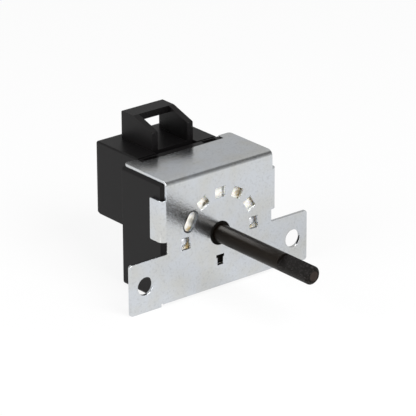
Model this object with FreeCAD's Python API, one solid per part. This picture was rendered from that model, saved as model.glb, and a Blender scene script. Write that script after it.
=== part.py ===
import FreeCAD, Part
import math
import os

# Rotary selector switch of a cooker, seen from its panel side.
# X runs to the right, Y runs backwards into the appliance and Z runs up.
# The origin is on the spindle's axis, on the panel face of the bracket.
# A play or gap is the air left between two pieces, on each side where there are two.

Vector = FreeCAD.Vector

# Spindle
shaft_d = 6.0
shaft_reach = 45.0
tip_chamfer = 1.0
flat_length = 14.0
flat_depth = 1.35
flat_angle = 116.0
journal_d = 7.8
journal_sunk = 0.3
journal_play = 0.07
thrust_flange_d = 21.6
thrust_flange_t = 1.2
drive_square = 5.6
tail_d = 4.0
tail_length = 3.0
axial_play = 0.15

# Bracket, one folded sheet
sheet_t = 1.0
bend_r = 2.0
plate_top = 22.65
plate_bottom = -18.2
relief_setback = 0.4
top_flange_corner_r = 1.2
flange_notch_width = 33.2
flange_notch_depth = 3.0
tab_bottom = 2.4
tab_top = 16.4
tab_depth = 6.0
tab_corner_r = 0.5
tab_play = 0.05
notch_corner_r = 0.4
ear_span = 72.4
ear_bottom = -18.95
ear_height = 17.3
ear_corner_r = 1.0
ear_slit_x = 23.9
ear_slit_width = 0.6
ear_slit_height = 0.4
ear_slit_corner_r = 0.3
ear_hole_spacing = 60.4
ear_hole_z = -10.0
ear_hole_d = 6.0

# Click positions
detent_circle_r = 13.8
detent_step = 30.0
detent_count = 7
slot_index = 5
detent_radial = 3.5
detent_tangential = 4.1
slot_radial = 3.6
slot_tangential = 6.6
tee_top = -7.4
tee_bar_width = 3.2
tee_bar_height = 0.9
tee_stem_width = 2.3
tee_height = 3.5

# Click mechanism
ball_d = 4.76
ball_gap = 0.05
pocket_play = 0.1
spring_wire_d = 0.45
spring_length = 3.3
spring_gap = 0.05
closed_coil_gap = 0.04
open_half_turns = 5
rotor_r = 17.3
rotor_face_gap = 0.5
rotor_web_t = 2.4
rotor_rim_t = 4.4
rotor_rim_width = 1.6
pocket_wall = 0.85
pocket_floor = 0.9
rotor_hub_d = 11.0
recess_play = 0.05
square_play = 0.05

# Front housing
housing_width = 45.0
housing_bottom = -18.45
housing_depth = 21.4
housing_wall = 1.9
housing_corner_r = 1.2
lead_play = 0.05
chamber_play = 0.45
chamber_ring_t = 2.4
rotor_back_gap = 0.4
partition_t = 1.3
partition_bore_play = 0.5
notch_rib_height = 0.7
notch_rib_play = 0.12

# Rear housing with the plug socket
base_t = 2.0
base_play = 0.1
socket_width = 32.4
socket_bottom = -2.65
socket_proud = 0.85
socket_depth = 21.65
socket_wall = 1.6
socket_floor_t = 2.6
socket_corner_r = 0.6
socket_mouth_taper = 0.25
socket_mouth_length = 1.35
socket_groove_width = 0.5
socket_groove_depth = 1.45
snap_width = 5.0
snap_spacing = 24.0
snap_height = 0.7
snap_length = 1.6
snap_ramp = 1.1
snap_play = 0.1
bearing_play = 0.05

# Latch bridge on the socket
latch_width = 16.5
latch_setback = 2.4
latch_slope_length = 9.7
latch_slope_rise = 3.1
latch_bar_length = 6.25
latch_height = 9.4
latch_bar_t = 2.3
latch_wall_front = 2.2
latch_wall_back = 1.2
latch_corner_r = 0.5

# Cam drum
track_front_gap = 2.1
track_pitch = 4.2
track_width = 3.2
cam_r = 6.5
cam_hub_r = 5.3
cam_end_gap = 0.2
cam_notch_r = 2.4
cam_notch_depth = 1.1
front_track_notches = [30.0, 90.0, 150.0, 240.0]
rear_track_notches = [60.0, 120.0, 210.0, 300.0]

# Contacts
blade_t = 0.8
blade_width = 4.8
blade_reach = 11.0
blade_tip_length = 1.2
blade_tip_width = 2.6
blade_column = 5.0
blade_row_low = 5.6
blade_row_pitch = 10.0
slot_play = 0.1
leg_width = 3.0
leaf_t = 0.3
leaf_clamp_height = 4.6
leaf_clamp_bottom = 3.6
leaf_nose_gap = 0.1
leaf_nose_half = 2.2
leaf_crest_half = 0.9
leaf_tip_z = -10.0
contact_z = -8.5
contact_gap = 0.6
contact_d = 2.4
contact_t = 0.7
contact_shank_d = 1.2
contact_upset_t = 0.35
fixed_end_top = -7.0
fixed_floor_z = -12.3
strip_inner_r = 0.4
rivet_d = 1.6
rivet_head_d = 2.6
rivet_head_t = 0.5
rivet_play = 0.03

# How far a cut runs past the face it opens
past = 1.0

# Stations that follow from the sizes above
shaft_r = shaft_d / 2
journal_r = journal_d / 2
tip_y = -shaft_reach
flange_front = sheet_t + axial_play
flange_back = flange_front + thrust_flange_t
rotor_front = sheet_t + rotor_face_gap
ball_y = sheet_t + ball_gap + ball_d / 2
pocket_r = ball_d / 2 + pocket_play
spring_mean_r = pocket_r - pocket_play - spring_wire_d / 2
spring_contact = ball_d / 2 + spring_wire_d / 2
spring_start = ball_y + math.sqrt(spring_contact ** 2 - spring_mean_r ** 2) + spring_gap
pocket_end = spring_start + spring_length
rotor_back = pocket_end + pocket_floor
chamber_r = rotor_r + chamber_play
chamber_end = rotor_back + rotor_back_gap
partition_back = chamber_end + partition_t
housing_half = housing_width / 2
housing_top = plate_top - sheet_t
housing_lead = bend_r - sheet_t + lead_play
tab_reach = housing_half + tab_play + sheet_t
plate_half = tab_reach - bend_r
relief_half = plate_half - relief_setback
base_front = housing_depth - base_t
cam_front = partition_back + cam_end_gap
cam_back = base_front - cam_end_gap
track_centres = [partition_back + track_front_gap, partition_back + track_front_gap + track_pitch]
tail_front = cam_back
socket_half = socket_width / 2
socket_top = housing_top + socket_proud
socket_end = housing_depth + socket_depth
socket_groove_floor = socket_top - socket_groove_depth
latch_front = housing_depth + latch_setback
latch_bar_front = latch_front + latch_slope_length
latch_back = latch_bar_front + latch_bar_length
latch_top = socket_top + latch_height
latch_front_top = latch_top - latch_slope_rise
inner_column = 1.5 * blade_column
outer_column = 2.5 * blade_column
row_heights = [blade_row_low + blade_row_pitch, blade_row_low]
socket_floor = housing_depth + socket_floor_t
blade_tip_y = socket_floor + blade_reach
leaf_inner_x = inner_column + blade_t / 2
side_names = {-1: "left", 1: "right"}
place_names = ["front", "rear"]


def box(x_low, x_high, y_low, y_high, z_low, z_high):
    """A block between two corners."""
    return Part.makeBox(x_high - x_low, y_high - y_low, z_high - z_low, Vector(x_low, y_low, z_low))


def rod(radius, y_low, y_high, x=0.0, z=0.0):
    """A cylinder that runs backwards along Y."""
    return Part.makeCylinder(radius, y_high - y_low, Vector(x, y_low, z), Vector(0, 1, 0))


def rounded_wire(corners):
    """A closed wire through (point, radius) corners, each rounded by its own radius."""
    count = len(corners)
    arcs = []
    for index, (corner, radius) in enumerate(corners):
        before = (corners[index - 1][0] - corner).normalize()
        after = (corners[(index + 1) % count][0] - corner).normalize()
        if radius == 0:
            arcs.append((corner, None, corner))
            continue
        half = before.getAngle(after) / 2
        setback = radius / math.tan(half)
        centre = corner + (before + after).normalize() * (radius / math.sin(half))
        middle = centre + (corner - centre).normalize() * radius
        arcs.append((corner + before * setback, middle, corner + after * setback))
    edges = []
    for index, (start, middle, end) in enumerate(arcs):
        if middle is not None:
            edges.append(Part.Arc(start, middle, end).toShape())
        following = arcs[(index + 1) % count][0]
        if end.distanceToPoint(following) > 1e-6:
            edges.append(Part.LineSegment(end, following).toShape())
    return Part.Wire(edges)


def panel_outline(corners, y_low, y_high):
    """A plate cut to (x, z, radius) corners, from one depth to another."""
    points = [(Vector(x, y_low, z), radius) for x, z, radius in corners]
    return Part.Face(rounded_wire(points)).extrude(Vector(0, y_high - y_low, 0))


def side_outline(corners, x_low, x_high):
    """A plate cut to (y, z, radius) corners, from one side to another."""
    points = [(Vector(x_low, y, z), radius) for y, z, radius in corners]
    return Part.Face(rounded_wire(points)).extrude(Vector(x_high - x_low, 0, 0))


def both_sides(right_half):
    """The closed outline of a right half, listed upwards, and its mirror image."""
    left_half = [(-x, z, radius) for x, z, radius in reversed(right_half)]
    return right_half + left_half


def block_outline(half_width, z_low, z_high, radius):
    """The corners of an upright rectangle about the middle plane."""
    return both_sides([(half_width, z_low, radius), (half_width, z_high, radius)])


def turned(profile):
    """A body of revolution about the spindle's axis from (radius, y) points."""
    points = [Vector(radius, y, 0) for radius, y in profile]
    face = Part.Face(Part.makePolygon(points + points[:1]))
    return face.revolve(Vector(0, 0, 0), Vector(0, 1, 0), 360)


def polar(radius, angle):
    """X and Z of a point at an angle from +X, counted anticlockwise from the front."""
    return radius * math.cos(math.radians(angle)), radius * math.sin(math.radians(angle))


def about_spindle(shape, angle):
    """A copy turned about the spindle's axis, anticlockwise as seen from the front."""
    copy = shape.copy()
    copy.rotate(Vector(0, 0, 0), Vector(0, -1, 0), angle)
    return copy


def mirrored(shape, side):
    """The shape itself for the right side, or its mirror image for the left."""
    if side > 0:
        return shape
    return shape.mirror(Vector(0, 0, 0), Vector(1, 0, 0))


def square_bar(side, y_low, y_high):
    """The square drive on the spindle, or the bore that fits it."""
    half = side / 2
    return box(-half, half, y_low, y_high, -half, half)


def make_spindle():
    """Moulded spindle: flatted shaft, journal, thrust flange, drive square and tail."""
    body = turned([
        (0, tip_y),
        (shaft_r - tip_chamfer, tip_y),
        (shaft_r, tip_y + tip_chamfer),
        (shaft_r, journal_sunk),
        (journal_r, journal_sunk),
        (journal_r, flange_front),
        (thrust_flange_d / 2, flange_front),
        (thrust_flange_d / 2, flange_back),
        (0, flange_back),
    ])
    keep = shaft_r - flat_depth
    flat = box(keep, shaft_d, tip_y - past, tip_y + flat_length, -shaft_d, shaft_d)
    body = body.cut(about_spindle(flat, flat_angle))
    square = square_bar(drive_square, flange_back, tail_front)
    tail = rod(tail_d / 2, tail_front, tail_front + tail_length)
    return body.fuse([square, tail]).removeSplitter()


def fold_section(reach, depth, place):
    """The L of a fold in the sheet: place(u, v) puts u along the plate and v behind it."""
    inner_r = bend_r - sheet_t
    turn = math.sqrt(0.5)
    start = reach - 2 * bend_r
    bend = reach - bend_r
    outer_mid = place(bend + turn * bend_r, bend_r - turn * bend_r)
    inner_mid = place(bend + turn * inner_r, bend_r - turn * inner_r)
    edges = [
        Part.LineSegment(place(start, 0), place(bend, 0)),
        Part.Arc(place(bend, 0), outer_mid, place(reach, bend_r)),
        Part.LineSegment(place(reach, bend_r), place(reach, depth)),
        Part.LineSegment(place(reach, depth), place(reach - sheet_t, depth)),
        Part.LineSegment(place(reach - sheet_t, depth), place(reach - sheet_t, bend_r)),
        Part.Arc(place(reach - sheet_t, bend_r), inner_mid, place(bend, sheet_t)),
        Part.LineSegment(place(bend, sheet_t), place(start, sheet_t)),
        Part.LineSegment(place(start, sheet_t), place(start, 0)),
    ]
    return Part.Face(Part.Wire([edge.toShape() for edge in edges]))


def make_top_flange():
    """The top wall of the bracket, with round corners and a notch in its rear edge."""
    half = plate_half
    section = fold_section(plate_top, housing_depth, lambda u, v: Vector(-half, v, u))
    flange = section.extrude(Vector(2 * half, 0, 0))
    back = housing_depth
    notch_half = flange_notch_width / 2
    notch_y = back - flange_notch_depth
    floor = plate_top - 2 * bend_r
    outline = rounded_wire([
        (Vector(-half, -sheet_t, floor), 0),
        (Vector(half, -sheet_t, floor), 0),
        (Vector(half, back, floor), top_flange_corner_r),
        (Vector(notch_half, back, floor), notch_corner_r),
        (Vector(notch_half, notch_y, floor), notch_corner_r),
        (Vector(-notch_half, notch_y, floor), notch_corner_r),
        (Vector(-notch_half, back, floor), notch_corner_r),
        (Vector(-half, back, floor), top_flange_corner_r),
    ])
    blank = Part.Face(outline).extrude(Vector(0, 0, 3 * bend_r))
    return flange.common(blank)


def make_side_tab(side):
    """A side wall of the bracket that clasps the housing, with round rear corners."""
    section = fold_section(tab_reach, tab_depth, lambda u, v: Vector(side * u, v, tab_bottom))
    wall = section.extrude(Vector(0, 0, tab_top - tab_bottom))
    outline = side_outline([
        (-sheet_t, tab_bottom, 0),
        (tab_depth, tab_bottom, tab_corner_r),
        (tab_depth, tab_top, tab_corner_r),
        (-sheet_t, tab_top, 0),
    ], -tab_reach - past, tab_reach + past)
    return wall.common(outline)


def detent_hole(index):
    """One click hole: a rectangle, or the long slot where the row has it."""
    if index == slot_index:
        straight = (slot_tangential - slot_radial) / 2
        hole = box(-slot_radial / 2, slot_radial / 2, -past, sheet_t + past, -straight, straight)
        for end in (-straight, straight):
            hole = hole.fuse(rod(slot_radial / 2, -past, sheet_t + past, 0, end))
    else:
        radial = detent_radial / 2
        tangential = detent_tangential / 2
        hole = box(-radial, radial, -past, sheet_t + past, -tangential, tangential)
    hole.translate(Vector(detent_circle_r, 0, 0))
    return about_spindle(hole, index * detent_step)


def make_bracket():
    """Zinc-plated steel bracket: face plate, two ears, top wall and two side tabs."""
    ear = ear_span / 2
    ear_top = ear_bottom + ear_height
    slit_top = plate_bottom + ear_slit_height
    plate = panel_outline(both_sides([
        (ear_slit_x - ear_slit_width, plate_bottom, ear_slit_corner_r),
        (ear_slit_x - ear_slit_width, slit_top, 0),
        (ear_slit_x, slit_top, 0),
        (ear_slit_x, ear_bottom, 0),
        (ear, ear_bottom, ear_corner_r),
        (ear, ear_top, ear_corner_r),
        (relief_half, ear_top, 0),
        (relief_half, tab_bottom, 0),
        (plate_half, tab_bottom, 0),
        (plate_half, plate_top - bend_r, 0),
    ]), 0, sheet_t)
    bracket = plate.fuse([make_top_flange(), make_side_tab(-1), make_side_tab(1)]).removeSplitter()
    tee_half = tee_bar_width / 2
    stem_half = tee_stem_width / 2
    front = -past
    back = sheet_t + past
    holes = [
        rod(journal_r + journal_play, front, back),
        box(-tee_half, tee_half, front, back, tee_top - tee_bar_height, tee_top),
        box(-stem_half, stem_half, front, back, tee_top - tee_height, tee_top),
    ]
    for side in (-1, 1):
        holes.append(rod(ear_hole_d / 2, front, back, side * ear_hole_spacing / 2, ear_hole_z))
    for index in range(detent_count):
        holes.append(detent_hole(index))
    return bracket.cut(holes)


def make_index_rotor():
    """Disc in natural plastic that carries the two click balls on their springs."""
    web_back = rotor_front + rotor_web_t
    rim_back = rotor_front + rotor_rim_t
    hub_r = rotor_hub_d / 2
    recess_r = thrust_flange_d / 2 + recess_play
    rim_inner = rotor_r - rotor_rim_width
    body = turned([
        (0, rotor_front),
        (rotor_r, rotor_front),
        (rotor_r, rim_back),
        (rim_inner, rim_back),
        (rim_inner, web_back),
        (hub_r, web_back),
        (hub_r, rotor_back),
        (0, rotor_back),
    ])
    boss_r = pocket_r + pocket_wall
    rib = box(-detent_circle_r, detent_circle_r, rotor_front, rim_back, -pocket_wall, pocket_wall)
    parts = [rib]
    cuts = [
        rod(recess_r, 0, flange_back),
        square_bar(drive_square + 2 * square_play, 0, rotor_back + past),
    ]
    for side in (-1, 1):
        boss = rod(boss_r, rotor_front, rotor_back, side * detent_circle_r)
        parts.append(boss.common(rod(rotor_r, rotor_front, rotor_back)))
        cuts.append(rod(pocket_r, rotor_front - past, pocket_end, side * detent_circle_r))
    return body.fuse(parts).removeSplitter().cut(cuts)


def make_detent_ball(side):
    """Steel ball that clicks into the bracket's holes."""
    return Part.makeSphere(ball_d / 2, Vector(side * detent_circle_r, ball_y, 0))


def make_detent_spring(side):
    """Coil spring with closed ends, drawn as tilted half rings that run smoothly into each other."""
    closed_step = (spring_wire_d + closed_coil_gap) / 2
    rise = spring_length - spring_wire_d / 2 - spring_gap
    open_step = (rise - 4 * closed_step) / open_half_turns
    steps = 2 * [closed_step] + open_half_turns * [open_step] + 2 * [closed_step]
    rings = []
    start_y = spring_start
    for index, step in enumerate(steps):
        way = 1 if index % 2 == 0 else -1
        start = Vector(way * spring_mean_r, start_y, 0)
        end = Vector(-way * spring_mean_r, start_y + step, 0)
        middle = (start + end) / 2
        along = Vector(0, 0, way)
        section = Part.Circle(start, along, spring_wire_d / 2).toShape()
        half_ring = Part.Face(Part.Wire([section])).revolve(middle, (start - middle).cross(along), 180)
        rings.append(half_ring)
        start_y += step
    coil = rings[0].fuse(rings[1:])
    coil.translate(Vector(side * detent_circle_r, 0, 0))
    return coil


def make_cam_drum():
    """Two-track cam drum in natural plastic, pushed onto the square drive."""
    parts = []
    for centre in track_centres:
        parts.append(rod(cam_r, centre - track_width / 2, centre + track_width / 2))
    drum = rod(cam_hub_r, cam_front, cam_back).fuse(parts)
    cuts = [square_bar(drive_square + 2 * square_play, cam_front - past, cam_back + past)]
    for centre, angles in zip(track_centres, (front_track_notches, rear_track_notches)):
        for angle in angles:
            x, z = polar(cam_r + cam_notch_r - cam_notch_depth, angle)
            front = centre - track_width / 2
            cuts.append(rod(cam_notch_r, front, front + track_width, x, z))
    return drum.cut(cuts)


def inner_block(inset, y_low, y_high):
    """A block as wide and high as the housing's inside, drawn in by an inset."""
    half = housing_half - housing_wall - inset
    low = housing_bottom + housing_wall + inset
    high = housing_top - housing_wall - inset
    return panel_outline(block_outline(half, low, high, housing_corner_r), y_low, y_high)


def snap_places():
    """The middle and the outward direction of each snap on the base's upper and lower edge."""
    places = []
    for side in (-1, 1):
        places.append((side * snap_spacing / 2, housing_bottom + housing_wall + base_play, -1))
        places.append((side * snap_spacing / 2, housing_top - housing_wall - base_play, 1))
    return places


def make_front_housing():
    """Black moulded housing: round click chamber in front, square contact chamber behind."""
    corners = block_outline(housing_half, housing_bottom, housing_top, housing_corner_r)
    lead_end = sheet_t + housing_lead
    front_half = housing_half - housing_lead
    front_low = housing_bottom + housing_lead
    front_high = housing_top - housing_lead
    lead = Part.makeWedge(-front_half, sheet_t, front_low, housing_bottom, -housing_half,
                          front_half, lead_end, front_high, housing_top, housing_half)
    rest = box(-housing_half, housing_half, lead_end, housing_depth, housing_bottom, housing_top)
    body = panel_outline(corners, sheet_t, housing_depth).common(lead.fuse(rest))
    rib_half = flange_notch_width / 2 - notch_rib_play
    rib_front = housing_depth - flange_notch_depth + notch_rib_play
    rib = box(-rib_half, rib_half, rib_front, housing_depth, housing_top, housing_top + notch_rib_height)
    body = body.fuse(rib)
    ring_r = chamber_r + chamber_ring_t
    core = inner_block(0, sheet_t, chamber_end).cut(rod(ring_r, 0, housing_depth))
    bore_r = drive_square / 2 * math.sqrt(2) + partition_bore_play
    cuts = [
        core,
        rod(chamber_r, 0, chamber_end),
        rod(bore_r, 0, housing_depth),
        inner_block(0, partition_back, housing_depth + past),
    ]
    for x, z, outward in snap_places():
        reach = z + outward * (base_play + housing_wall + past)
        z_low, z_high = sorted((z, reach))
        half = snap_width / 2 + snap_play
        end = base_front + snap_length + snap_play
        cuts.append(box(x - half, x + half, base_front - snap_play, end, z_low, z_high))
    return body.cut(cuts)


def make_snap(x, z, outward):
    """A wedge on the base's edge that clicks into a window of the housing's wall."""
    flat_y = base_front + snap_ramp
    end_y = base_front + snap_length
    corners = [
        (base_front, z - outward * base_play, 0),
        (base_front, z, 0),
        (flat_y, z + outward * snap_height, 0),
        (end_y, z + outward * snap_height, 0),
        (end_y, z - outward * base_play, 0),
    ]
    return side_outline(corners, x - snap_width / 2, x + snap_width / 2)


def make_latch_bridge():
    """The two cheeks and the cross bar behind which the plug's latch hooks."""
    root = socket_groove_floor
    half = latch_width / 2
    cheeks = side_outline([
        (latch_front, root, 0),
        (latch_front, latch_front_top, latch_corner_r),
        (latch_bar_front, latch_top, latch_corner_r),
        (latch_back, latch_top, latch_corner_r),
        (latch_back, root, 0),
    ], -half, half)
    front_inner = half - latch_wall_front
    back_inner = half - latch_wall_back
    under_bar = latch_top - latch_bar_t
    cuts = [
        box(-front_inner, front_inner, latch_front - past, latch_bar_front, socket_top, latch_top + past),
        box(-back_inner, back_inner, latch_bar_front, latch_back + past, socket_top, under_bar),
    ]
    return cheeks.cut(cuts)


def blade_slots():
    """The slots in the base that hold the blades of all the terminals."""
    slots = []
    half_t = blade_t / 2 + slot_play
    half_w = blade_width / 2 + slot_play
    for column in (-outer_column, -inner_column, inner_column, outer_column):
        for row in row_heights:
            slots.append(box(column - half_t, column + half_t, base_front - past, socket_floor + past,
                             row - half_w, row + half_w))
    return slots


def make_rear_housing():
    """Black moulded base with the plug socket and its latch bridge."""
    outer = block_outline(socket_half, socket_bottom, socket_top, socket_corner_r)
    mouth_start = socket_end - socket_mouth_length
    shroud = panel_outline(outer, housing_depth, mouth_start)
    narrow = block_outline(socket_half - socket_mouth_taper, socket_bottom + socket_mouth_taper,
                           socket_top - socket_mouth_taper, socket_corner_r)
    mouth = Part.makeLoft([
        rounded_wire([(Vector(x, mouth_start, z), radius) for x, z, radius in outer]),
        rounded_wire([(Vector(x, socket_end, z), radius) for x, z, radius in narrow]),
    ], True, True)
    body = inner_block(base_play, base_front, housing_depth)
    body = body.fuse([shroud, mouth, make_latch_bridge()])
    body = body.fuse([make_snap(*place) for place in snap_places()])
    inner = block_outline(socket_half - socket_wall, socket_bottom + socket_wall,
                          socket_top - socket_wall, socket_corner_r)
    groove_back = housing_depth + socket_groove_width
    latch_half = latch_width / 2
    bore_end = tail_front + tail_length + axial_play
    cuts = blade_slots() + [
        panel_outline(inner, socket_floor, socket_end + past),
        box(-socket_width, socket_width, housing_depth, groove_back, socket_groove_floor, latch_top),
        box(-latch_half, latch_half, housing_depth, latch_front, socket_groove_floor, latch_top),
        rod(tail_d / 2 + bearing_play, base_front - past, bore_end),
    ]
    return body.removeSplitter().cut(cuts)


def make_blade(column, row, start):
    """A flat blade, tapered at its tip, at one column and row of the socket."""
    half = blade_width / 2
    tip = blade_tip_width / 2
    shoulder = blade_tip_y - blade_tip_length
    return side_outline([
        (start, row - half, 0),
        (shoulder, row - half, 0),
        (blade_tip_y, row - tip, 0),
        (blade_tip_y, row + tip, 0),
        (shoulder, row + half, 0),
        (start, row + half, 0),
    ], column - blade_t / 2, column + blade_t / 2)


def stud(x_low, x_high, radius, y, z):
    """A short cylinder along X."""
    return Part.makeCylinder(radius, x_high - x_low, Vector(x_low, y, z), Vector(1, 0, 0))


def leaf_rivet_z():
    """Height of the rivet in the middle of the leaf's clamped end."""
    return leaf_clamp_bottom + leaf_clamp_height / 2


def make_moving_terminal(side, place):
    """Brass terminal whose leg carries a contact leaf."""
    centre = track_centres[place]
    front = centre - leg_width / 2
    row = row_heights[place]
    leg_bottom = blade_row_low - blade_width / 2
    leg = box(inner_column - blade_t / 2, inner_column + blade_t / 2,
              front, front + leg_width, leg_bottom, row)
    terminal = leg.fuse(make_blade(inner_column, row, front)).removeSplitter()
    hole = stud(0, outer_column, rivet_d / 2 + rivet_play, centre, leaf_rivet_z())
    return mirrored(terminal.cut(hole), side)


def make_contact_leaf(side, place):
    """Bronze leaf spring with a formed nose that rides on its cam track."""
    centre = track_centres[place]
    inner = leaf_inner_x
    outer = inner + leaf_t
    nose = cam_r + leaf_nose_gap
    crest = leaf_crest_half
    bend = 2 * leaf_t
    top = leaf_clamp_bottom + leaf_clamp_height
    leaf = panel_outline([
        (inner, top, 0),
        (inner, leaf_nose_half, leaf_t),
        (nose, crest, bend),
        (nose, -crest, bend),
        (inner, -leaf_nose_half, leaf_t),
        (inner, leaf_tip_z, 0),
        (outer, leaf_tip_z, 0),
        (outer, -leaf_nose_half - leaf_t / 2, bend),
        (nose + leaf_t, -crest - leaf_t / 2, leaf_t),
        (nose + leaf_t, crest + leaf_t / 2, leaf_t),
        (outer, leaf_nose_half + leaf_t / 2, bend),
        (outer, top, 0),
    ], centre - leg_width / 2, centre + leg_width / 2)
    holes = [
        stud(0, outer_column, rivet_d / 2 + rivet_play, centre, leaf_rivet_z()),
        stud(0, outer_column, contact_shank_d / 2 + rivet_play, centre, contact_z),
    ]
    return mirrored(leaf.cut(holes), side)


def make_fixed_terminal(side, place):
    """Brass terminal bent round under the leaf to face its moving contact."""
    centre = track_centres[place]
    front = centre - leg_width / 2
    row = row_heights[place]
    end_outer = fixed_face_x()
    end_inner = end_outer - blade_t
    leg_inner = outer_column - blade_t / 2
    leg_outer = outer_column + blade_t / 2
    floor_top = fixed_floor_z + blade_t
    outer_r = strip_inner_r + blade_t
    hook = panel_outline([
        (leg_outer, row, 0),
        (leg_inner, row, 0),
        (leg_inner, floor_top, strip_inner_r),
        (end_outer, floor_top, strip_inner_r),
        (end_outer, fixed_end_top, 0),
        (end_inner, fixed_end_top, 0),
        (end_inner, fixed_floor_z, outer_r),
        (leg_outer, fixed_floor_z, outer_r),
    ], front, front + leg_width)
    terminal = hook.fuse(make_blade(outer_column, row, front)).removeSplitter()
    hole = stud(0, inner_column, contact_shank_d / 2 + rivet_play, centre, contact_z)
    return mirrored(terminal.cut(hole), side)


def fixed_face_x():
    """Where the fixed terminal's contact end stands, one open gap inside the leaf's contact."""
    return leaf_inner_x - 2 * contact_t - contact_gap


def make_contact_rivets():
    """Silver contacts: one pair for each leaf, with the open gap between their faces."""
    rivets = []
    head_r = contact_d / 2
    shank_r = contact_shank_d / 2
    for side in (-1, 1):
        for centre in track_centres:
            moving_face = leaf_inner_x - contact_t
            leaf_back = leaf_inner_x + leaf_t
            moving = stud(moving_face, leaf_inner_x, head_r, centre, contact_z)
            moving = moving.fuse(stud(leaf_inner_x, leaf_back, shank_r, centre, contact_z))
            moving = moving.fuse(stud(leaf_back, leaf_back + contact_upset_t, head_r - contact_upset_t,
                                      centre, contact_z))
            face = fixed_face_x()
            back = face - blade_t
            fixed = stud(face, face + contact_t, head_r, centre, contact_z)
            fixed = fixed.fuse(stud(back, face, shank_r, centre, contact_z))
            fixed = fixed.fuse(stud(back - contact_upset_t, back, head_r - contact_upset_t,
                                    centre, contact_z))
            rivets += [mirrored(moving, side), mirrored(fixed, side)]
    return Part.makeCompound(rivets)


def make_leaf_rivets():
    """Brass rivets that clamp the leaves to their terminals."""
    rivets = []
    inner = inner_column - blade_t / 2
    outer = leaf_inner_x + leaf_t
    for side in (-1, 1):
        for centre in track_centres:
            z = leaf_rivet_z()
            rivet = stud(inner, outer, rivet_d / 2, centre, z)
            rivet = rivet.fuse(stud(inner - rivet_head_t, inner, rivet_head_d / 2, centre, z))
            rivet = rivet.fuse(stud(outer, outer + rivet_head_t, rivet_head_d / 2, centre, z))
            rivets.append(mirrored(rivet, side))
    return Part.makeCompound(rivets)


def make_parts():
    """Every piece by the name of its node."""
    parts = {
        "bracket": make_bracket(),
        "front_housing": make_front_housing(),
        "rear_housing": make_rear_housing(),
        "spindle": make_spindle(),
        "index_rotor": make_index_rotor(),
        "cam_drum": make_cam_drum(),
        "contact_rivets": make_contact_rivets(),
        "leaf_rivets": make_leaf_rivets(),
    }
    for side, side_name in side_names.items():
        parts["detent_ball_" + side_name] = make_detent_ball(side)
        parts["detent_spring_" + side_name] = make_detent_spring(side)
        for place, place_name in enumerate(place_names):
            ending = side_name + "_" + place_name
            parts["contact_leaf_" + ending] = make_contact_leaf(side, place)
            parts["moving_terminal_" + ending] = make_moving_terminal(side, place)
            parts["fixed_terminal_" + ending] = make_fixed_terminal(side, place)
    return parts


os.makedirs("parts", exist_ok=True)
for name, shape in make_parts().items():
    shape.exportStep("parts/" + name + ".step")
    bounds = shape.BoundBox
    print(name, len(shape.Solids), "solids", shape.isValid(), round(shape.Volume, 2),
          [round(value, 2) for value in (bounds.XMin, bounds.XMax, bounds.YMin,
                                         bounds.YMax, bounds.ZMin, bounds.ZMax)])
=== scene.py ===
# %% [markdown]
# # Dressing a rotary selector switch
# The switch sits behind the control panel of a cooker. A folded, zinc-plated bracket carries a
# black moulded housing, and a long black spindle stands out at the front for the knob.
# The solids come from the CAD frame at their real size, so this lesson does not change a shape
# that fits. It adds the camera, the light, the broken edges, the finishes and the small traces
# of making that a solid model leaves out.

import math

import bpy
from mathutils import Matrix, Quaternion, Vector


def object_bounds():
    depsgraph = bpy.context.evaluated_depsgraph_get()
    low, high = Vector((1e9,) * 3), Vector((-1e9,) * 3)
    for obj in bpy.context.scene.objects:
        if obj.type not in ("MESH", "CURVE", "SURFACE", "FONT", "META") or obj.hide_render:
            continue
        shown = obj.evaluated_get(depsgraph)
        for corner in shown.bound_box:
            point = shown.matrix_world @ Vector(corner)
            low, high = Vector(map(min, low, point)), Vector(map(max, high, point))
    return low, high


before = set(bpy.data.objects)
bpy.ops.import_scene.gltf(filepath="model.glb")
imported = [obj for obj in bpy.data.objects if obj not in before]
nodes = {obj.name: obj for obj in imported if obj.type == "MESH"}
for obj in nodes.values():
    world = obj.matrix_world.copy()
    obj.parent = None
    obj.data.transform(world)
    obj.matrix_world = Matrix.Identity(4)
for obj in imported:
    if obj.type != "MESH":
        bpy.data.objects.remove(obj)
cad_low, cad_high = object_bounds()
MM = 0.001
print("nodes:", len(nodes), "size in mm:", [round(side / MM, 1) for side in cad_high - cad_low])

# %% [markdown]
# ## Camera
# A product picture is taken from far away with a long lens, which keeps parallel edges almost
# parallel. The camera is placed by two angles and a distance round a point inside the switch,
# because angles are easier to match to a photograph than three coordinates.

# %% Camera
aim = Vector((-4.99, 0.0, 9.76)) * MM
camera_turn = math.radians(-39.11)
camera_rise = math.radians(22.22)
camera_roll = math.radians(-0.25)
camera_distance = 941.6 * MM
lens_length = 259.62
sensor_width = 36.0
back = Vector((
    math.sin(camera_turn) * math.cos(camera_rise),
    -math.cos(camera_turn) * math.cos(camera_rise),
    math.sin(camera_rise),
))
camera_data = bpy.data.cameras.new("camera")
camera_data.sensor_width = sensor_width
camera_data.lens = lens_length
camera = bpy.data.objects.new("camera", camera_data)
camera.location = aim + back * camera_distance
upright = (-back).to_track_quat("-Z", "Y")
camera.rotation_euler = (upright @ Quaternion((0.0, 0.0, 1.0), camera_roll)).to_euler()
bpy.context.scene.collection.objects.link(camera)
bpy.context.scene.camera = camera
bpy.context.scene.view_settings.view_transform = "Standard"
print("camera at", [round(value / MM) for value in camera.location], "mm")

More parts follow.
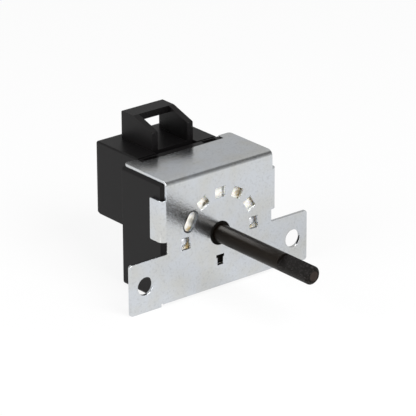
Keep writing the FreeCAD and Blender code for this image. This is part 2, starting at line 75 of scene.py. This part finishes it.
# %% [markdown]
# ## Helpers for node trees
# Every finish here is a tree of shader nodes. Writing each node takes three or four lines, so
# one small function adds a node, sets its options and fills its inputs, either with a value or
# with the output of another node. Another turns the hex colours of a paint card, which are
# written in sRGB, into the linear numbers that the renderer adds up. A third turns a size in
# millimetres into the scale of a texture.
# A Mix node holds a pair of inputs called A and B for each kind of data, so its colours are
# reached by their numbers. A noise has few values near 0 or 1: most lie from 0.3 to 0.7.

# %% Node helpers and colours
COLOUR_A = 6
COLOUR_B = 7
MIXED_COLOUR = 2
noise_low = 0.3
noise_high = 0.7


def fill(tree, node, inputs):
    """Gives each of these inputs a value or another node's output."""
    for name, value in inputs.items():
        if isinstance(value, bpy.types.NodeSocket):
            tree.links.new(value, node.inputs[name])
        else:
            node.inputs[name].default_value = value


def add(tree, kind, inputs=None, **settings):
    """Adds a node with these settings and inputs."""
    node = tree.nodes.new(kind)
    for name, value in settings.items():
        setattr(node, name, value)
    fill(tree, node, inputs or {})
    return node


def linear(hex_colour):
    """The linear RGBA colour of an sRGB hex value."""
    parts = [int(hex_colour[i:i + 2], 16) / 255 for i in (1, 3, 5)]
    return [p / 12.92 if p <= 0.04045 else ((p + 0.055) / 1.055) ** 2.4 for p in parts] + [1.0]


def per_mm(size):
    """The texture scale that makes features about this many millimetres across."""
    return 1 / (size * MM)


print("mid grey in linear light:", round(linear("#808080")[0], 3))

# %% [markdown]
# ## Floor and studio
# The switch stands on a pale sweep, on the lower edges of its two ears. Metal shows the room
# more than it shows its own colour, so each part of the room has a task. The bright floor
# gives the plate its pale grey, the even back wall gives the top a darker one, and the front
# wall, which is dim high up, draws the thin dark line along the fold.
# The camera itself sees plain white. For it the floor is mostly glow and partly paint, so that
# it stays white and still keeps a soft shadow. In gloss the floor is a little darker: it falls
# off away from the left lamp, and it is darkest in the spot that the right ear mirrors.

# %% Floor
floor_level = cad_low.z
floor_size = 4000
bpy.ops.mesh.primitive_plane_add(size=floor_size * MM, location=(0, 0, floor_level))
floor = bpy.context.object
floor.name = "floor"
floor_paint = bpy.data.materials.new("pale_studio_floor")
floor_paint.use_nodes = True
floor.data.materials.append(floor_paint)
print("floor at", round(floor_level / MM, 2), "mm")

# %% Floor as gloss sees it
lamp_side_x = -30
far_side_x = 60
lamp_side_level = 0.83
far_side_level = 0.775
shaded_spot = Vector((50.0, -19.0, 0.0)) * MM
shaded_radius = 45
shaded_level = 0.66
tree = floor_paint.node_tree
tree.nodes.clear()
floor_place = add(tree, "ShaderNodeTexCoord").outputs["Object"]
across = add(tree, "ShaderNodeSeparateXYZ", {0: floor_place})
lit = add(tree, "ShaderNodeMapRange", {
    "Value": across.outputs["X"],
    "From Min": lamp_side_x * MM,
    "From Max": far_side_x * MM,
    "To Min": lamp_side_level,
    "To Max": far_side_level,
})
from_spot = add(tree, "ShaderNodeVectorMath", {0: floor_place, 1: shaded_spot}, operation="DISTANCE")
shade = add(tree, "ShaderNodeMapRange", {
    "Value": from_spot.outputs["Value"],
    "From Min": 0.0,
    "From Max": shaded_radius * MM,
    "To Min": 1.0,
    "To Max": 0.0,
}, interpolation_type="SMOOTHSTEP")
in_gloss = add(tree, "ShaderNodeMix", {"Factor": shade.outputs[0], "A": lit.outputs[0],
                                       "B": shaded_level})
print("floor in gloss from", lamp_side_level, "to", shaded_level)

# %% Floor paint and glow
glow_seen_by_camera = 0.86
glow_seen_in_gloss = 0.7
path = add(tree, "ShaderNodeLightPath")
strength = add(tree, "ShaderNodeMix", {"Factor": path.outputs["Is Camera Ray"],
                                       "A": in_gloss.outputs["Result"], "B": 1.0})
paint = add(tree, "ShaderNodeBsdfDiffuse", {"Color": linear("#F2F2F2")})
glow = add(tree, "ShaderNodeEmission", {"Color": linear("#FFFFFF"),
                                        "Strength": strength.outputs["Result"]})
gloss_share = add(tree, "ShaderNodeMath", {0: path.outputs["Is Glossy Ray"], 1: glow_seen_in_gloss},
                  operation="MULTIPLY")
share = add(tree, "ShaderNodeMath", {0: path.outputs["Is Camera Ray"], 1: glow_seen_by_camera,
                                     2: gloss_share.outputs[0]}, operation="MULTIPLY_ADD")
both = add(tree, "ShaderNodeMixShader", {0: share.outputs[0], 1: paint.outputs[0], 2: glow.outputs[0]})
add(tree, "ShaderNodeOutputMaterial", {"Surface": both.outputs[0]})
print("floor glow seen by the camera:", glow_seen_by_camera)

# %% [markdown]
# ## Studio walls
# The walls are painted on the world, which lies far away on every side. A place on it is given
# by a direction of length 1. Its Z is the height, 0 at the horizon and 1 straight up, and its Y
# is negative in front of the switch and positive behind it.

# %% Studio walls
front_wall_foot = 0.68
front_wall_top = 0.12
front_wall_height = 0.5
back_wall_foot = 0.46
back_wall_top = 0.57
back_wall_height = 0.7
front_wall_end = -0.35
back_wall_start = 0.05
world = bpy.data.worlds.new("studio")
bpy.context.scene.world = world
world.use_nodes = True
tree = world.node_tree
tree.nodes.clear()
direction = add(tree, "ShaderNodeTexCoord").outputs["Generated"]
axes = add(tree, "ShaderNodeSeparateXYZ", {0: direction})
front_wall = add(tree, "ShaderNodeMapRange", {
    "Value": axes.outputs["Z"],
    "From Min": 0.0,
    "From Max": front_wall_height,
    "To Min": front_wall_foot,
    "To Max": front_wall_top,
})
back_wall = add(tree, "ShaderNodeMapRange", {
    "Value": axes.outputs["Z"],
    "From Min": 0.0,
    "From Max": back_wall_height,
    "To Min": back_wall_foot,
    "To Max": back_wall_top,
})
behind = add(tree, "ShaderNodeMapRange", {
    "Value": axes.outputs["Y"],
    "From Min": front_wall_end,
    "From Max": back_wall_start,
}, interpolation_type="SMOOTHSTEP")
room = add(tree, "ShaderNodeMix", {"Factor": behind.outputs[0], "A": front_wall.outputs[0],
                                   "B": back_wall.outputs[0]})
seen = add(tree, "ShaderNodeLightPath").outputs["Is Camera Ray"]
wall_level = add(tree, "ShaderNodeMix", {"Factor": seen, "A": room.outputs["Result"], "B": 1.0})
sky = add(tree, "ShaderNodeBackground", {"Color": linear("#FFFFFF"),
                                         "Strength": wall_level.outputs["Result"]})
add(tree, "ShaderNodeOutputWorld", {"Surface": sky.outputs[0]})
print("front wall from", front_wall_foot, "to", front_wall_top)

# %% [markdown]
# ## Lamps
# Two large soft lamps do the rest. The left one lights the side of the housing and the cut
# edges of the sheet. The front one gives the spindle its streak, by a detour: the spindle
# mirrors the plate, and the plate mirrors the lamp. Both are large against the switch, so that
# no highlight has a hard border.

# %% Lamps
def softbox(name, turn, rise, distance, width, watts):
    """A square lamp at two angles and a distance in metres, facing the switch."""
    data = bpy.data.lights.new(name, "AREA")
    data.shape = "SQUARE"
    data.size = width
    data.energy = watts
    lamp = bpy.data.objects.new(name, data)
    turn, rise = math.radians(turn), math.radians(rise)
    away = Vector((math.sin(turn) * math.cos(rise), -math.cos(turn) * math.cos(rise), math.sin(rise)))
    lamp.location = aim + away * distance
    lamp.rotation_euler = (-away).to_track_quat("-Z", "Y").to_euler()
    bpy.context.scene.collection.objects.link(lamp)
    return lamp


lamps = [
    softbox("left_softbox", turn=-95, rise=25, distance=0.9, width=0.6, watts=4.7),
    softbox("front_softbox", turn=4, rise=42, distance=1.0, width=0.6, watts=8.8),
]
print("lamps:", [lamp.name for lamp in lamps])

# %% [markdown]
# ## Broken edges
# No real edge is perfectly sharp. A punched sheet has a small rollover, and a moulding has a
# radius where the tool was finished by hand. Both catch a thin line of light, and without them
# a model looks like paper. A chain of modifiers makes them and leaves the CAD mesh as it is: Weld
# joins the seams of the imported mesh, Decimate merges its flat triangles, Bevel rounds every
# edge that turns by more than 30 degrees, and Weighted Normal keeps the faces flat between.

# %% Edge helper
seam_gap = 0.001
flat_angle = 0.5
sharp_angle = 30
edge_segments = 2


def break_edges(node, radius):
    """Rounds the sharp edges of a CAD node by a radius in millimetres."""
    piece = nodes[node]
    for polygon in piece.data.polygons:
        polygon.use_smooth = True
    weld = piece.modifiers.new("weld", "WELD")
    weld.merge_threshold = seam_gap * MM
    merge = piece.modifiers.new("merge_flats", "DECIMATE")
    merge.decimate_type = "DISSOLVE"
    merge.angle_limit = math.radians(flat_angle)
    bevel = piece.modifiers.new("edge", "BEVEL")
    bevel.width = radius * MM
    bevel.segments = edge_segments
    bevel.limit_method = "ANGLE"
    bevel.angle_limit = math.radians(sharp_angle)
    flat = piece.modifiers.new("flat_faces", "WEIGHTED_NORMAL")
    flat.keep_sharp = True


edge_radius = {
    "bracket": 0.10,
    "front_housing": 0.15,
    "rear_housing": 0.15,
    "spindle": 0.12,
    "index_rotor": 0.12,
    "cam_drum": 0.12,
}
for node, radius in edge_radius.items():
    break_edges(node, radius)
print("edges broken on", len(edge_radius), "pieces")

# %% [markdown]
# ## A blank material
# All the finishes share one surface shader, so this function makes a material with that shader
# alone and hands back its tree. The pattern coordinates are the object's own, in metres, so a
# pattern keeps its size in millimetres whatever the piece.

# %% Blank material
def blank(name):
    """A new material, its tree, its surface shader and the object's coordinates."""
    material = bpy.data.materials.new(name)
    material.use_nodes = True
    tree = material.node_tree
    tree.nodes.clear()
    surface = add(tree, "ShaderNodeBsdfPrincipled")
    add(tree, "ShaderNodeOutputMaterial", {"Surface": surface.outputs[0]})
    place = add(tree, "ShaderNodeTexCoord").outputs["Object"]
    return material, tree, surface, place


def dress(material, *names):
    """Gives the named CAD nodes one material."""
    for name in names:
        nodes[name].data.materials.clear()
        nodes[name].data.materials.append(material)


print("blank materials ready")

# %% [markdown]
# ## Zinc-plated steel sheet
# The bracket is cold-rolled steel with a thin coat of electroplated zinc and a clear
# passivation. That gives a pale grey metal with faint bluish clouds, small dull pits, and a
# blurred mirror image of what stands near it, such as the dark smear beside the spindle.
# Clouds of 9 mm and pits of 0.8 mm drive the colour: each comes in from one level of its noise
# and is full at another. A grain of 0.6 mm drives the roughness and the bump: the real one is
# finer than a tenth of that and would not show. Noise is made on a square grid, which a flat
# sheet in line with it shows as rows, so the coordinates of the fine patterns are turned first.
# The Bevel node rounds the shading near every edge, as tumbling in the plating drum does.
# One click hole, at 150 degrees, is a long slot with a coined rim. The coining is a bump, and the
# rim's darker colour is painted shade, for the dim reflection of its rolled-over edge. The rim
# follows the distance from the slot's middle line, so no extra mesh is needed for it.

# %% Slot rim
click_circle_r = 13.8
slot_angle = math.radians(150)
slot_centre = Vector((math.cos(slot_angle), 0.0, math.sin(slot_angle))) * click_circle_r * MM
slot_axis = (math.sin(slot_angle), 0.0, -math.cos(slot_angle))
slot_straight_half = 1.5
slot_end_r = 1.8
coined_and_shaded_width = 0.5
coined_depth = 0.06
worn_edge_r = 0.2


def distance_from_slot(tree, place):
    """How far a point of the plate is from the middle line of the click slot."""
    offset = add(tree, "ShaderNodeVectorMath", {0: place, 1: slot_centre}, operation="SUBTRACT")
    along = add(tree, "ShaderNodeVectorMath", {0: offset.outputs[0], 1: slot_axis},
                operation="DOT_PRODUCT")
    held = add(tree, "ShaderNodeClamp", {"Value": along.outputs["Value"],
                                         "Min": -slot_straight_half * MM,
                                         "Max": slot_straight_half * MM})
    nearest = add(tree, "ShaderNodeVectorMath", {0: slot_axis, "Scale": held.outputs[0]},
                  operation="SCALE")
    return add(tree, "ShaderNodeVectorMath", {0: offset.outputs[0], 1: nearest.outputs[0]},
               operation="DISTANCE").outputs["Value"]


print("slot rim from", slot_end_r, "to", slot_end_r + coined_and_shaded_width, "mm off its middle line")

# %% Zinc-plated sheet
cloud_size = 9.0
cloud_starts, cloud_full = 0.4, 0.66
pit_size = 0.8
pit_starts, pit_full = 0.54, 0.68
pit_strength = 0.32
plating_grain = 0.6
plating_relief = 0.025
smooth_plating = 0.17
rough_plating = 0.23
off_grid_turn = (0.6, 0.4, 0.8)
edge_samples = 6


def zinc_plated_sheet():
    """Cold-rolled steel, electroplated with zinc and passivated clear."""
    material, tree, surface, place = blank("zinc_plated_cold_rolled_steel")
    cloud = add(tree, "ShaderNodeTexNoise", {"Vector": place, "Scale": per_mm(cloud_size), "Detail": 3.0})
    clouded = add(tree, "ShaderNodeMapRange", {"Value": cloud.outputs["Fac"],
                                               "From Min": cloud_starts, "From Max": cloud_full})
    plain = add(tree, "ShaderNodeMix", {0: clouded.outputs[0], COLOUR_A: linear("#DBDFE4"),
                                        COLOUR_B: linear("#D9DAD8")}, data_type="RGBA")
    turned = add(tree, "ShaderNodeMapping", {"Vector": place, "Rotation": off_grid_turn}).outputs[0]
    pits = add(tree, "ShaderNodeTexNoise", {"Vector": turned, "Scale": per_mm(pit_size), "Detail": 3.0})
    pit_share = add(tree, "ShaderNodeMapRange", {"Value": pits.outputs["Fac"], "From Min": pit_starts,
                                                 "From Max": pit_full, "To Max": pit_strength})
    pitted = add(tree, "ShaderNodeMix", {0: pit_share.outputs[0], COLOUR_A: plain.outputs[MIXED_COLOUR],
                                         COLOUR_B: linear("#B9BBBE")}, data_type="RGBA")
    coined_and_shaded_rim = add(tree, "ShaderNodeMapRange", {"Value": distance_from_slot(tree, place),
                                              "From Min": slot_end_r * MM,
                                              "From Max": (slot_end_r + coined_and_shaded_width) * MM})
    # Painted shade: the rim is coloured darker, though the zinc there is not.
    rim_painted_shade = add(tree, "ShaderNodeMix", {0: coined_and_shaded_rim.outputs[0], COLOUR_A: linear("#747A81"),
                                         COLOUR_B: pitted.outputs[MIXED_COLOUR]}, data_type="RGBA")

    grain = add(tree, "ShaderNodeTexNoise", {"Vector": turned, "Scale": per_mm(plating_grain),
                                             "Detail": 2.0})
    rough = add(tree, "ShaderNodeMapRange", {"Value": grain.outputs["Fac"], "From Min": noise_low,
                                             "From Max": noise_high, "To Min": smooth_plating,
                                             "To Max": rough_plating})
    worn = add(tree, "ShaderNodeBevel", {"Radius": worn_edge_r * MM}, samples=edge_samples)
    edge = add(tree, "ShaderNodeBump", {"Normal": worn.outputs[0], "Height": coined_and_shaded_rim.outputs[0],
                                        "Distance": coined_depth * MM})
    relief = add(tree, "ShaderNodeBump", {"Normal": edge.outputs[0], "Height": grain.outputs["Fac"],
                                          "Distance": plating_relief * MM})
    fill(tree, surface, {
        "Base Color": rim_painted_shade.outputs[MIXED_COLOUR],
        "Metallic": 1.0,
        "Roughness": rough.outputs[0],
        "Normal": relief.outputs[0],
    })
    return material


dress(zinc_plated_sheet(), "bracket")
print("bracket plated")

# %% [markdown]
# ## Black thermoplastic
# Both housings are moulded in black glass-filled polyester. The tool is spark-eroded, so the
# skin is a fine matt grain that scatters a soft grey sheen. Grains of a few hundredths of a
# millimetre shade each other, which a bump can't do, so the specular level is below its default.
# They are drawn at 0.25 mm, as coarse as it takes to show.

# %% Black moulding
flow_size = 6.0
eroded_grain = 0.25
eroded_relief = 0.01
smooth_moulding = 0.34
rough_moulding = 0.46
low_specular = 0.2


def black_moulding():
    """Black glass-filled polyester from a spark-eroded tool."""
    material, tree, surface, place = blank("black_moulded_polyester")
    flow = add(tree, "ShaderNodeTexNoise", {"Vector": place, "Scale": per_mm(flow_size), "Detail": 2.0})
    colour = add(tree, "ShaderNodeMix", {0: flow.outputs["Fac"], COLOUR_A: linear("#0B0A0A"),
                                         COLOUR_B: linear("#100E0F")}, data_type="RGBA")
    grain = add(tree, "ShaderNodeTexNoise", {"Vector": place, "Scale": per_mm(eroded_grain),
                                             "Detail": 3.0})
    rough = add(tree, "ShaderNodeMapRange", {"Value": grain.outputs["Fac"], "From Min": noise_low,
                                             "From Max": noise_high, "To Min": smooth_moulding,
                                             "To Max": rough_moulding})
    relief = add(tree, "ShaderNodeBump", {"Height": grain.outputs["Fac"], "Strength": 0.4,
                                          "Distance": eroded_relief * MM})
    fill(tree, surface, {
        "Base Color": colour.outputs[MIXED_COLOUR],
        "Metallic": 0.0,
        "IOR": 1.5,
        "Specular IOR Level": low_specular,
        "Roughness": rough.outputs[0],
        "Normal": relief.outputs[0],
    })
    return material


dress(black_moulding(), "front_housing", "rear_housing")
print("housings moulded")

# %% [markdown]
# ## Spindle
# The spindle is a black moulding too, with the same low specular level. It comes from a
# polished tool, so it is glossier, and a film of oil tints its shine warm. The flatted end comes
# from a textured insert: it is duller, with pale specks of about 0.6 mm. The tip has a small step
# bumped in at the mould's gate, and a dark ring of painted shade where its end face meets the
# chamfer. The bearing ring at the other end is painted near-black, as painted shade for the deep
# shade it sits in.
# Each stretch could have its own material, but then the borders would have to follow the mesh.
# Masks from the coordinates can lie anywhere, so one shader does it all.

# %% Spindle zones
flat_start = -31.0
tip_face = -45.0
bearing_face = 0.3
# The tip's bumped step and its ring of painted shade lie at this radius, with these widths.
gate_step_r = 1.9
shade_ring_half = 0.3
gate_step_half = 0.15
blend = 0.1


def spindle_zones(tree, place):
    """Masks from 0 to 1: flatted end, tip, ring of painted shade in the tip, raised rim of the tip,
    bearing ring of painted shade.
    """
    axes = add(tree, "ShaderNodeSeparateXYZ", {0: place})
    along = axes.outputs["Y"]
    flatted = add(tree, "ShaderNodeMapRange", {"Value": along, "From Min": (flat_start + blend) * MM,
                                               "From Max": (flat_start - blend) * MM})
    tip = add(tree, "ShaderNodeMath", {0: along, 1: (tip_face + blend) * MM}, operation="LESS_THAN")
    # The bearing ring gets painted shade: a near-black colour and a high roughness.
    bearing = add(tree, "ShaderNodeMath", {0: along, 1: (bearing_face - blend) * MM},
                  operation="GREATER_THAN")
    across = add(tree, "ShaderNodeCombineXYZ", {0: axes.outputs["X"], 1: axes.outputs["Z"]})
    radius = add(tree, "ShaderNodeVectorMath", {0: across.outputs[0]}, operation="LENGTH")
    # A dark ring of painted shade where the tip's end face meets its chamfer.
    ring = add(tree, "ShaderNodeMath", {0: radius.outputs["Value"], 1: gate_step_r * MM,
                                        2: shade_ring_half * MM}, operation="COMPARE")
    rim = add(tree, "ShaderNodeMapRange", {"Value": radius.outputs["Value"],
                                           "From Min": (gate_step_r - gate_step_half) * MM,
                                           "From Max": (gate_step_r + gate_step_half) * MM},
              interpolation_type="SMOOTHSTEP")
    raised = add(tree, "ShaderNodeMath", {0: rim.outputs[0], 1: tip.outputs[0]}, operation="MULTIPLY")
    return [node.outputs[0] for node in (flatted, tip, ring, raised, bearing)]


print("flatted end from", tip_face, "to", flat_start, "mm")

# %% Spindle moulding
speck_size = 0.6
speck_starts, speck_full = 0.5, 0.68
gate_step = 0.4
texture_relief = 0.03
smooth_shaft = 0.32
rough_shaft = 0.4
smooth_texture = 0.4
rough_texture = 0.7
bearing_roughness = 0.8


def spindle_moulding():
    """Black moulding: polished shaft, dull flatted end, a ring of painted shade in the tip."""
    material, tree, surface, place = blank("black_moulded_polyamide")
    flatted, tip, ring, raised, bearing = spindle_zones(tree, place)
    noise = add(tree, "ShaderNodeTexNoise", {"Vector": place, "Scale": per_mm(speck_size), "Detail": 4.0})
    grain = noise.outputs["Fac"]

    speck = add(tree, "ShaderNodeMapRange", {"Value": grain, "From Min": speck_starts,
                                             "From Max": speck_full})
    dull = add(tree, "ShaderNodeMix", {0: speck.outputs[0], COLOUR_A: linear("#040405"),
                                       COLOUR_B: linear("#312F30")}, data_type="RGBA")
    shaft = add(tree, "ShaderNodeMix", {0: flatted, COLOUR_A: linear("#0B0603"),
                                        COLOUR_B: dull.outputs[MIXED_COLOUR]}, data_type="RGBA")
    # Painted shade: the bearing ring is coloured near-black.
    bearing_painted_shade = add(tree, "ShaderNodeMix", {0: bearing, COLOUR_A: shaft.outputs[MIXED_COLOUR],
                                         COLOUR_B: linear("#020202")}, data_type="RGBA")
    # Painted shade: the dark ring in the tip.
    tip_shade_ring = add(tree, "ShaderNodeMix", {0: ring, COLOUR_A: linear("#2A2321"),
                                       COLOUR_B: linear("#050505")}, data_type="RGBA")
    colour = add(tree, "ShaderNodeMix", {0: tip, COLOUR_A: bearing_painted_shade.outputs[MIXED_COLOUR],
                                         COLOUR_B: tip_shade_ring.outputs[MIXED_COLOUR]}, data_type="RGBA")

    polished = add(tree, "ShaderNodeMapRange", {"Value": grain, "To Min": smooth_shaft,
                                                "To Max": rough_shaft})
    textured = add(tree, "ShaderNodeMapRange", {"Value": grain, "From Min": noise_low,
                                                "From Max": noise_high, "To Min": smooth_texture,
                                                "To Max": rough_texture})
    sheen = add(tree, "ShaderNodeMix", {"Factor": flatted, "A": polished.outputs[0],
                                        "B": textured.outputs[0]})
    rough = add(tree, "ShaderNodeMix", {"Factor": bearing, "A": sheen.outputs["Result"],
                                        "B": bearing_roughness})

    step = add(tree, "ShaderNodeBump", {"Height": raised, "Distance": gate_step * MM})
    relief = add(tree, "ShaderNodeBump", {"Normal": step.outputs[0], "Height": grain,
                                          "Strength": 0.6, "Distance": texture_relief * MM})
    fill(tree, surface, {
        "Base Color": colour.outputs[MIXED_COLOUR],
        "Metallic": 0.0,
        "IOR": 1.53,
        "Specular IOR Level": low_specular,
        "Specular Tint": linear("#F8ECDB"),
        "Roughness": rough.outputs["Result"],
        "Normal": relief.outputs[0],
    })
    return material


dress(spindle_moulding(), "spindle")
print("spindle moulded")

# %% [markdown]
# ## Natural acetal
# The click rotor and the cam drum are unpigmented acetal, a slippery plastic that looks like
# wax: light goes in and comes out a millimetre further on. Subsurface scattering does that.
# Grease from the ball track leaves straw-coloured, glossy patches of about 2.5 mm. The noise
# for them has a fourth coordinate, W, which works as a seed: it was chosen so that the patches
# show in the click holes. A few darker spots behind the holes are partly dust worn off the metal,
# partly painted shade, where a hole's wall shades the rotor.

# %% Dust and painted shade
fleck_size = 1.2
fleck_starts, fleck_full = 0.35, 0.6
thinnest_dust_and_shade = 0.35
# Each spot: its centre, the radius of its core, its reach, all in mm, and its strongest darkening
dust_and_shade_spots = [
    ((-10.5, 1.5, 6.4), 0.5, 1.9, 0.7),
    ((8.4, 1.5, 11.0), 0.5, 1.7, 0.65),
    # This spot, behind the 120-degree hole, is painted shade from the hole's wall.
    ((-4.8, 1.5, 10.4), 1.0, 1.6, 1.0),
]


def dust_and_painted_shade(tree, place):
    """How much dust and painted shade a point of the rotor has, from 0 to 1: each spot fades from a core
    outwards.
    """
    fleck = add(tree, "ShaderNodeTexNoise", {"Vector": place, "Scale": per_mm(fleck_size), "Detail": 3.0})
    uneven = add(tree, "ShaderNodeMapRange", {"Value": fleck.outputs["Fac"], "From Min": fleck_starts,
                                              "From Max": fleck_full, "To Min": thinnest_dust_and_shade,
                                              "To Max": 1.0})
    dust_and_shade = 0.0
    for centre, core_r, reach, most in dust_and_shade_spots:
        away = add(tree, "ShaderNodeVectorMath", {0: place, 1: [side * MM for side in centre]},
                   operation="DISTANCE")
        near = add(tree, "ShaderNodeMapRange", {"Value": away.outputs["Value"],
                                                "From Min": core_r * MM, "From Max": reach * MM,
                                                "To Min": most, "To Max": 0.0})
        dust_and_shade = add(tree, "ShaderNodeMath", {0: near.outputs[0], 1: dust_and_shade}, operation="MAXIMUM").outputs[0]
    return add(tree, "ShaderNodeMath", {0: dust_and_shade, 1: uneven.outputs[0]}, operation="MULTIPLY").outputs[0]


print("dust spots:", len(dust_and_shade_spots))

# %% Natural acetal
patch_seed = 10.1
patch_size = 2.5
patch_starts, patch_full = 0.5, 0.62
dry_roughness = 0.38
greased_roughness = 0.15
scatter_share = 0.15


def natural_acetal():
    """Unpigmented acetal with traces of grease and dust."""
    material, tree, surface, place = blank("natural_acetal")
    smear = add(tree, "ShaderNodeTexNoise", {"Vector": place, "Scale": per_mm(patch_size),
                                             "Detail": 3.0, "W": patch_seed}, noise_dimensions="4D")
    greased = add(tree, "ShaderNodeMapRange", {"Value": smear.outputs["Fac"],
                                               "From Min": patch_starts, "From Max": patch_full})
    waxy = add(tree, "ShaderNodeMix", {0: greased.outputs[0], COLOUR_A: linear("#FBF9F2"),
                                       COLOUR_B: linear("#DCC492")}, data_type="RGBA")
    # The dark colour serves as dust, and as painted shade behind the 120-degree hole.
    colour = add(tree, "ShaderNodeMix", {0: dust_and_painted_shade(tree, place), COLOUR_A: waxy.outputs[MIXED_COLOUR],
                                         COLOUR_B: linear("#6A6250")}, data_type="RGBA")
    rough = add(tree, "ShaderNodeMapRange", {"Value": greased.outputs[0], "To Min": dry_roughness,
                                             "To Max": greased_roughness})
    fill(tree, surface, {
        "Base Color": colour.outputs[MIXED_COLOUR],
        "Metallic": 0.0,
        "IOR": 1.48,
        "Roughness": rough.outputs[0],
        "Subsurface Weight": scatter_share,
        "Subsurface Radius": (1.0, 0.8, 0.5),
        "Subsurface Scale": 1.0 * MM,
    })
    return material


dress(natural_acetal(), "index_rotor", "cam_drum")
print("rotor and drum moulded")

# %% [markdown]
# ## Small metal parts
# The last pieces are metals that differ in colour and in how they were finished: ground steel
# balls, drawn spring wire, punched brass, rolled bronze strip and silver contacts. One function
# makes them all, with a noise in colour and roughness so that no surface is perfectly even.

# %% Small metals
def worked_metal(name, light, dark, patch, smooth, rough):
    """A metal with two shades, in patches of a size in millimetres."""
    material, tree, surface, place = blank(name)
    patches = add(tree, "ShaderNodeTexNoise", {"Vector": place, "Scale": per_mm(patch), "Detail": 3.0})
    colour = add(tree, "ShaderNodeMix", {0: patches.outputs["Fac"], COLOUR_A: linear(light),
                                         COLOUR_B: linear(dark)}, data_type="RGBA")
    sheen = add(tree, "ShaderNodeMapRange", {"Value": patches.outputs["Fac"], "From Min": noise_low,
                                             "From Max": noise_high, "To Min": smooth,
                                             "To Max": rough})
    fill(tree, surface, {
        "Base Color": colour.outputs[MIXED_COLOUR],
        "Metallic": 1.0,
        "Roughness": sheen.outputs[0],
    })
    return material


sides = ("left", "right")
places = [side + "_" + row for side in sides for row in ("front", "rear")]
ground_steel = worked_metal("ground_bearing_steel", "#F2F3F5", "#E2E4E8",
                            patch=1.2, smooth=0.45, rough=0.55)
spring_wire = worked_metal("drawn_spring_wire", "#A9AAAD", "#8A8B8E",
                           patch=0.4, smooth=0.22, rough=0.34)
punched_brass = worked_metal("punched_brass", "#D9B96B", "#C4A253",
                             patch=2.0, smooth=0.2, rough=0.32)
rolled_bronze = worked_metal("rolled_phosphor_bronze", "#CF9468", "#B97F55",
                             patch=1.5, smooth=0.2, rough=0.3)
silver = worked_metal("silver_contact", "#E4E2DC", "#CFCBC2",
                      patch=0.5, smooth=0.22, rough=0.35)
dress(ground_steel, *["detent_ball_" + side for side in sides])
dress(spring_wire, *["detent_spring_" + side for side in sides])
dress(punched_brass, "leaf_rivets", *[kind + "_terminal_" + place for kind in ("fixed", "moving")
                                      for place in places])
dress(rolled_bronze, *["contact_leaf_" + place for place in places])
dress(silver, "contact_rivets")
print("materials:", len(bpy.data.materials))
